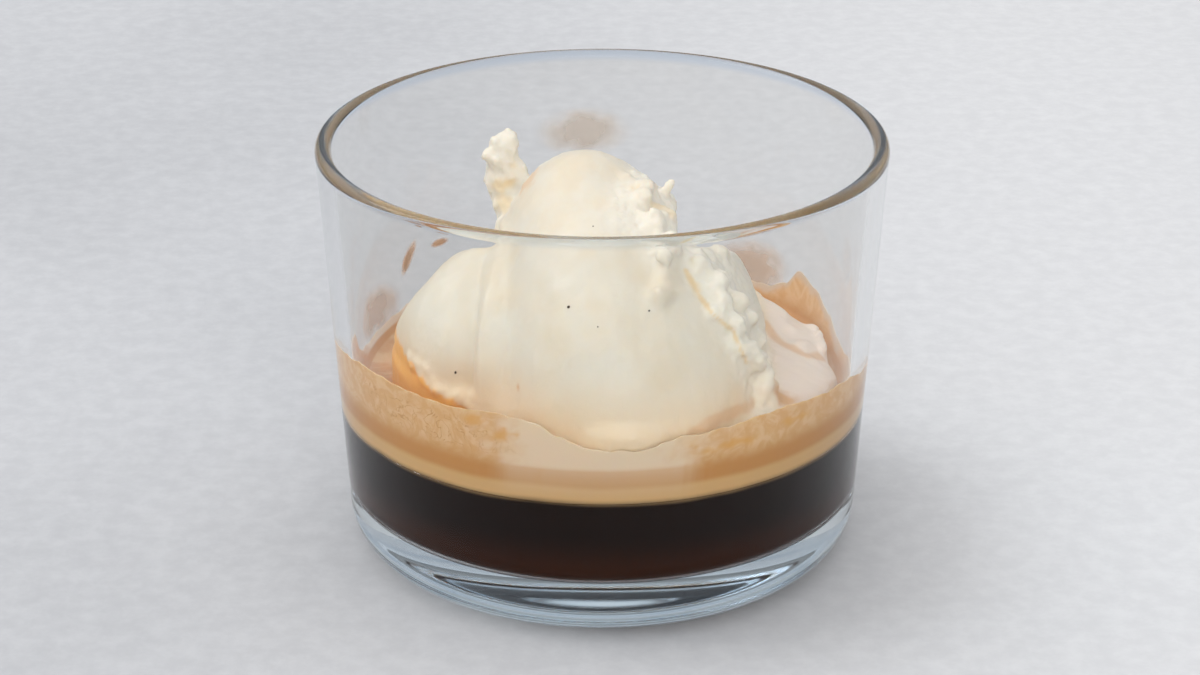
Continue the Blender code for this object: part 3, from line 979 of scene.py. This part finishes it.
def crema_section():
    """The layer with a plain collar one millimetre high, whose rings are stretched later."""
    edge = drink_radius(LIP)
    flat = [(r * MM, CREMA_LEVEL) for r in np.arange(0.0, 33.1, 0.55)]
    curve = [
        (edge - (MENISCUS_START - MENISCUS_RUN * s) * MM, CREMA_LEVEL + MENISCUS * s * s)
        for s in np.linspace(0.1, 1, 7)
    ]
    inside = [
        (edge - (FILM_FOOT - FILM_THINNING * s) * MM, LIP + s * MM)
        for s in np.linspace(0.1, 1, COLLAR_RINGS)
    ]
    outside = [(edge, LIP + s * MM) for s in np.linspace(1, 0, COLLAR_RINGS)]
    bottom = crema_low.z
    return [*flat, *curve, *inside, *outside, (drink_radius(bottom), bottom), (0.0, bottom)]


def raise_collar(piece):
    """Stretches the collar to its height at each bearing, and lets it follow the leaning wall."""
    places = place_of(piece)
    collar = places[:, 2] > LIP + HAIR
    x, y, z = places[collar].T
    bearing = bearing_of(places[collar])
    rag = rag_of(np.stack((x, y, 0 * z), axis=1), 330.0, 4)
    depth = drink_radius(LIP) - np.hypot(x, y)
    height = LIP + (z - LIP) / MM * (collar_height(bearing) + COLLAR_RAG * rag - LIP)
    reach = drink_radius(height) - depth
    turn = np.radians(bearing)
    places[collar] = np.stack((reach * np.cos(turn), reach * np.sin(turn), height), axis=1)
    move_to(piece, places)


def swell_surface(piece):
    """Low waves and froth on the open surface, flat at the wall and on the underside."""
    places = place_of(piece)
    on_top = (np.abs(places[:, 2] - CREMA_LEVEL) < HAIR) & (reach_of(places) < SWELL_REACH)
    flat = places[on_top] * (1.0, 1.0, 0.0)
    places[on_top, 2] += rag_of(flat, 150.0, 4) * SWELL
    move_to(piece, places)


crema = spun("crema_foam", crema_section(), DRINK_STEPS * 2)
raise_collar(crema)
swell_surface(crema)
cut_out(crema, foot)
bpy.data.objects.remove(foot)
smooth_shading(crema, 60.0)
print("crema:", triangles_in(crema), "triangles")

# %% [markdown]
# Seen through the wall the crema has bands: dark coffee bleeding up into it, pale tan foam, an orange
# line at its real surface, and the film above. In front the film is milky with melted ice cream. At
# the sides it is tan, with fine lines where it has drained and a few amber patches, and at the back it
# turns paler towards its edge. From above it is marbled orange and cream. Where each of these lies is
# again a number on the vertices.

# %% Say where the crema is thin, milky, drained or amber
AMBER_PATCHES = (
    (-112.0, 31.9, 1.9, 1.1), (-118.5, 33.8, 1.6, 0.7), (-61.0, 29.9, 4.4, 0.8), (-47.0, 30.8, 2.6, 0.6),
    (50.0, 28.6, 1.6, 1.8),
)
EDGE_WIDTH = 1.6 * MM


def wall_spots(bearing, height, patches, rag):
    """Patches on the wall, each a bearing, a height, and half its width and height in millimetres."""
    values = np.zeros(len(bearing))
    for middle, level, half_width, half_height in patches:
        aside = np.radians((bearing - middle + 180.0) % 360.0 - 180.0) * inner_radius(height)
        away = np.hypot(aside / (half_width * MM), (height - level * MM) / (half_height * MM))
        values = np.maximum(values, eased(1.3 - away + 1.1 * rag))
    return values


crema_places = place_of(crema)
bearing = bearing_of(crema_places)
height = crema_places[:, 2]
rag = rag_of(crema_places, 380.0)
below_edge = np.maximum(collar_height(bearing) - height, 0.0) / EDGE_WIDTH
at_the_back = between(bearing, 4.0, 176.0, 10.0) * (height > LIP)
thin = at_the_back * (1.0 - eased(below_edge * (1.0 + 0.5 * rag)))
in_front = between(bearing + 6.0 * rag, -112.0, -70.0, 14.0)
milky = in_front * eased((height - 26.6 * MM) / (1.6 * MM))
at_the_left = between(bearing, -152.0, -108.0, 10.0)
drained = at_the_left * between(height, 29.0 * MM, 33.6 * MM, 1.2 * MM)
give_values(crema, "thin", thin)
give_values(crema, "milky", milky)
give_values(crema, "drained", drained)
give_values(crema, "amber", 0.8 * wall_spots(bearing, height, AMBER_PATCHES, rag))
open_surface = reach_of(crema_places) < drink_radius(LIP) - 2.0 * MM
give_values(crema, "open", open_surface & (height > CREMA_LEVEL - 1.5 * MM))
print("crema marked")

# %% Finish the crema
CREMA_PALE = seen(220, 181, 128)
CREMA_LINE = seen(204, 150, 92)
CREMA_FILM = seen(222, 180, 130)
CREMA_FILM_LIGHT = seen(230, 196, 152)
CREMA_MILK = seen(236, 215, 188)
CREMA_BLEED = seen(70, 44, 28)
CREMA_DRAIN = seen(208, 162, 112)
CREMA_AMBER = seen(224, 172, 102)
CREMA_ORANGE = seen(206, 158, 112)
CREMA_CREAM = seen(216, 178, 136)
CREMA_THIN = seen(216, 198, 180)
LINE_BAND = (25.0 * MM, 26.2 * MM)
FILM_BAND = (27.2 * MM, 30.4 * MM)


def crema_finish(name, index):
    """The index is that of the wet foam against what it touches, which is air or the wall."""
    material, tree, shader, place = new_material(name)
    height = wavy_height(tree, place)
    colour = mixed(tree, ranged(tree, height, *FOAM_BAND), CREMA_BLEED, CREMA_PALE)
    colour = mixed(tree, ranged(tree, height, *LINE_BAND), colour, CREMA_LINE)
    streaks = ranged(tree, noise_value(tree, place, 320.0, 5.0, 0.6, 1.5), 0.4, 0.62)
    film = mixed(tree, streaks, CREMA_FILM, CREMA_FILM_LIGHT)
    colour = mixed(tree, ranged(tree, height, *FILM_BAND), colour, film)
    swirls = noise_value(tree, place, 420.0, 2.0, 0.5, 1.2)
    off_line = math_node(tree, "ABSOLUTE", math_node(tree, "SUBTRACT", swirls, 0.5))
    fine_lines = ranged(tree, off_line, 0.022, 0.004)
    drained = math_node(tree, "MULTIPLY", fine_lines, attribute_value(tree, "drained"))
    colour = mixed(tree, drained, colour, CREMA_DRAIN)
    marble = ranged(tree, noise_value(tree, place, 130.0, 5.0, 0.6, 2.2), 0.42, 0.6)
    open_top = mixed(tree, marble, CREMA_ORANGE, CREMA_CREAM)
    marks = (("milky", CREMA_MILK), ("amber", CREMA_AMBER), ("open", open_top), ("thin", CREMA_THIN))
    for mark, tone in marks:
        colour = mixed(tree, attribute_value(tree, mark), colour, tone)
    in_air = index > 1.0
    finish = {
        "Base Color": colour,
        "IOR": index,
        "Roughness": 0.35 if in_air else 0.08,
        "Subsurface Weight": 0.25,
        "Subsurface Radius": (1.0, 0.6, 0.3),
        "Subsurface Scale": 1.0 * MM,
    }
    fill(tree, shader, finish)
    if in_air:
        bump(tree, shader, grain(tree, place, 1400.0, 4200.0), 0.3, 0.1 * MM)
    return material


def at_the_wall(face):
    middle = face.center
    reach = math.hypot(middle.x, middle.y)
    return reach > drink_radius(middle.z) - 0.1 * MM and face.normal.dot((middle.x, middle.y, 0)) > 0


crema.data.materials.append(crema_finish("crema", COFFEE_INDEX))
crema.data.materials.append(crema_finish("crema_at_the_wall", COFFEE_INDEX / GLASS_INDEX))
for face in crema.data.polygons:
    face.material_index = 1 if at_the_wall(face) else 0
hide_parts("crema")
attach(crema, "root")
print("crema finished")

# %% [markdown]
# ## Smears on the wall
# Above the collar the wall is not clean: the scoop and the crema have left thin hazy smears on it. Each
# is a flat lens that lies on the inside of the wall. A sphere is flattened, laid along the wall at its
# bearing and height, and fades out towards its rim.

# %% Model the smears
# Each row: bearing, height, half width, half height, slant, strength, warmth. Lengths are in mm.
SMEARS = (
    (49.0, 31.6, 9.5, 5.2, 0.1, 0.5, 0.4),
    (52.0, 28.4, 2.2, 1.4, 0.0, 0.9, 1.0),
    (162.0, 30.6, 9.5, 5.0, -0.1, 0.42, 0.5),
    (145.2, 35.7, 2.6, 1.9, 0.8, 0.8, 0.6),
    (134.0, 36.1, 2.2, 0.8, 0.0, 0.7, 0.7),
    # The last row is a faint pale patch high on the back wall, just above the dome.
    (94.5, 50.4, 8.5, 4.6, 0.0, 0.4, 0.0),
)
SMEAR_DEPTH = 0.06 * MM
SMEAR_THICKNESS = 0.03 * MM


def smear(bearing, height, half_width, half_height, slant, strength, warmth):
    bpy.ops.object.select_all(action="DESELECT")
    bpy.ops.mesh.primitive_uv_sphere_add(segments=48, ring_count=32, radius=1.0)
    piece = bpy.context.object
    across, up, out = place_of(piece).T
    z = (height + up * half_height + across * slant * half_width) * MM
    turn = math.radians(bearing) - across * half_width * MM / inner_radius(z)
    reach = inner_radius(z) + SMEAR_DEPTH + out * SMEAR_THICKNESS
    places = np.stack((reach * np.cos(turn), reach * np.sin(turn), z), axis=1)
    move_to(piece, places)
    rag = rag_of(places, 260.0)
    inward = np.maximum(0.97 - np.hypot(across, up), 0.0)
    give_values(piece, "cover", strength * eased(1.6 * inward * (1.0 + 0.6 * rag)))
    give_values(piece, "warmth", np.full(len(places), warmth))
    return piece


def smear_finish():
    material, tree, shader, place = new_material("wall_smear")
    streaks = noise_value(tree, place, 240.0, 4.0, 0.6, 0.8)
    grey = mixed(tree, streaks, seen(208, 190, 170), seen(216, 200, 182))
    colour = mixed(tree, attribute_value(tree, "warmth"), grey, seen(236, 184, 128))
    patchy = ranged(tree, streaks, 0.25, 0.6, 0.85, 1.0)
    cover = math_node(tree, "MULTIPLY", patchy, attribute_value(tree, "cover"))
    fill(tree, shader, {"Base Color": colour, "Alpha": cover, "Roughness": 0.6})
    return material


smears = [smear(*values) for values in SMEARS]
wall_smears = joined(*smears)
wall_smears.name = "wall_smears"
tidy_mesh(wall_smears, 0.001 * MM)
smooth_shading(wall_smears, 60.0)
wall_smears.data.materials.append(smear_finish())
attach(wall_smears, "root")
print("smears:", len(smears))

# %% [markdown]
# ## The floor, the light and the camera
# The glass stands on a pale, faintly mottled grey board, with light painted on it so that it grows paler
# towards the right. One large soft light comes from the upper left, as from a window, another from the
# front, and a grey room does the rest. The room is darker low down, because the dark lines at the sides
# of a glass are the room seen through its rim.

# %% Lay the floor
FLOOR_SIDE = 3.0


def floor_finish():
    material, tree, shader, place = new_material("pale_board")
    wide = ranged(tree, noise_value(tree, place, 9.0, 5.0, 0.55), 0.3, 0.7)
    colour = mixed(tree, wide, seen(186, 188, 193), seen(202, 204, 209))
    # Painted light: the board turns paler towards the right, where more light falls on it.
    painted_light_rightward = ranged(tree, part_of(tree, place, "X"), -90.0 * MM, 110.0 * MM)
    colour = mixed(tree, painted_light_rightward, colour, seen(230, 231, 234))
    fine = ranged(tree, noise_value(tree, place, 260.0, 6.0, 0.65), 0.3, 0.75)
    speckle = mixed(tree, fine, seen(187, 190, 196), seen(212, 215, 220))
    fill(tree, shader, {"Base Color": mixed(tree, 0.4, colour, speckle), "Roughness": 0.7})
    bump(tree, shader, grain(tree, place, 300.0, 1500.0), 0.15, 0.2 * MM)
    return material


bpy.ops.object.select_all(action="DESELECT")
bpy.ops.mesh.primitive_plane_add(size=FLOOR_SIDE, location=(0, 0, 0))
board = bpy.context.object
board.name = "floor_board"
board.data.materials.append(floor_finish())
print("floor laid")

# %% Hang the lights
LOOK_AT = Vector((0.0, 0.0, 30.0)) * MM
ROOM_LOW = (0.30, 0.30, 0.30, 1.0)
ROOM_HIGH = (0.935, 0.93, 0.925, 1.0)


def soft_light(name, place, width, height, power, colour):
    light = bpy.data.lights.new(name, "AREA")
    light.shape = "RECTANGLE"
    light.size, light.size_y = width, height
    light.energy = power
    light.color = colour
    lamp = new_object(name, light)
    lamp.location = place
    lamp.rotation_euler = (LOOK_AT - Vector(place)).to_track_quat("-Z", "Y").to_euler()


soft_light("window_left", (-1.35, 0.20, 1.50), 1.1, 1.1, 13.0, (1.0, 0.99, 0.97))
soft_light("front_fill", (0.15, -2.00, 0.95), 1.6, 1.0, 13.0, (1.0, 0.98, 0.95))

world = bpy.data.worlds.new("grey_room")
world.use_nodes = True
room_tree = world.node_tree
around = add_node(room_tree, "TexCoord", {}).outputs["Generated"]
raised = ranged(room_tree, part_of(room_tree, around, "Z"), 0.0, 0.6)
room = mixed(room_tree, raised, ROOM_LOW, ROOM_HIGH)
fill(room_tree, room_tree.nodes["Background"], {"Color": room, "Strength": 0.92})
bpy.context.scene.world = world
bpy.context.scene.view_settings.view_transform = "Standard"
print("lights hung")

# %% [markdown]
# The camera stands 23.5 degrees above level and 450 mm away, with a long lens, as the ellipse of the
# rim and the lean of the wall in the photograph say. A small shift puts the glass where it was framed.

# %% Set the camera
ELEVATION = math.radians(23.54)
DISTANCE = 450.0 * MM
LENS = 89.7
FRAME_WIDTH = 1200.0
SHIFT_RIGHT_PX, SHIFT_DOWN_PX = 2.3, 7.3

camera = new_object("camera", bpy.data.cameras.new("camera"))
towards = Vector((0.0, -math.cos(ELEVATION), math.sin(ELEVATION)))
camera.location = LOOK_AT + towards * DISTANCE
camera.rotation_euler = (-towards).to_track_quat("-Z", "Y").to_euler()
camera.data.lens = LENS
camera.data.sensor_width = 36.0
camera.data.shift_x = -SHIFT_RIGHT_PX / FRAME_WIDTH
camera.data.shift_y = SHIFT_DOWN_PX / FRAME_WIDTH
camera.data.clip_start = 10.0 * MM
bpy.context.scene.camera = camera
paths = bpy.context.scene.cycles
paths.max_bounces = 32
paths.transmission_bounces = 32
paths.glossy_bounces = 24
paths.transparent_max_bounces = 16
print("camera at", tuple(round(v, 3) for v in camera.location))
